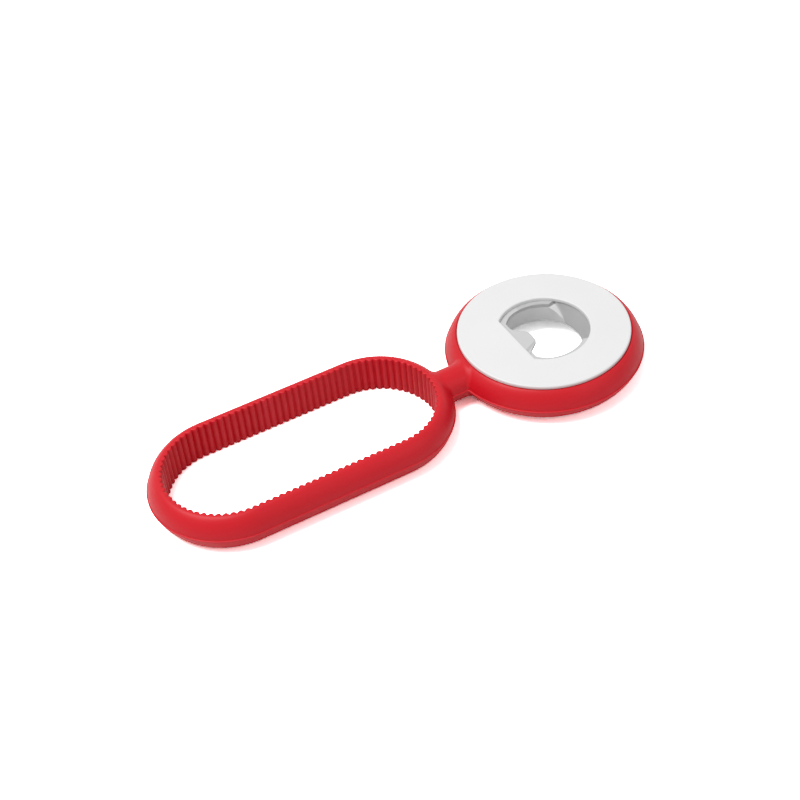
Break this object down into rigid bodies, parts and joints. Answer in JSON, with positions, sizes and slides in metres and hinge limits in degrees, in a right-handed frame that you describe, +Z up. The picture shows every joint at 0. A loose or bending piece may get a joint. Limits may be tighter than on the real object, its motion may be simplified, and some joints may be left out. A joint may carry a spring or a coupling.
{
  "type": "jar grip and bottle opener",
  "caption": "Flat hand tool: ribbed rubber grip loop for screw caps, short neck and round head with a D-shaped mouth and steel crown-cap opener.",
  "frame": {"origin": "under the middle of the whole tool, on the plane it rests on", "axes": "+X from the grip loop to the head, +Z up through the head's top cover"},
  "size_m": [0.1758, 0.0664, 0.0141],
  "materials": {
    "soft_red": "satin moulded rubber",
    "white_plastic": "fine satin",
    "core_plastic": "satin",
    "steel": "satin stamped"
  },
  "bodies": {
    "root": {"grip_moulding": "soft_red", "head_core": "core_plastic", "opener_insert": "steel", "insert_screw_1": "steel", "insert_screw_2": "steel", "insert_screw_3": "steel", "insert_screw_4": "steel", "top_cover": "white_plastic", "bottom_cover": "white_plastic"}
  },
  "joints": []
}
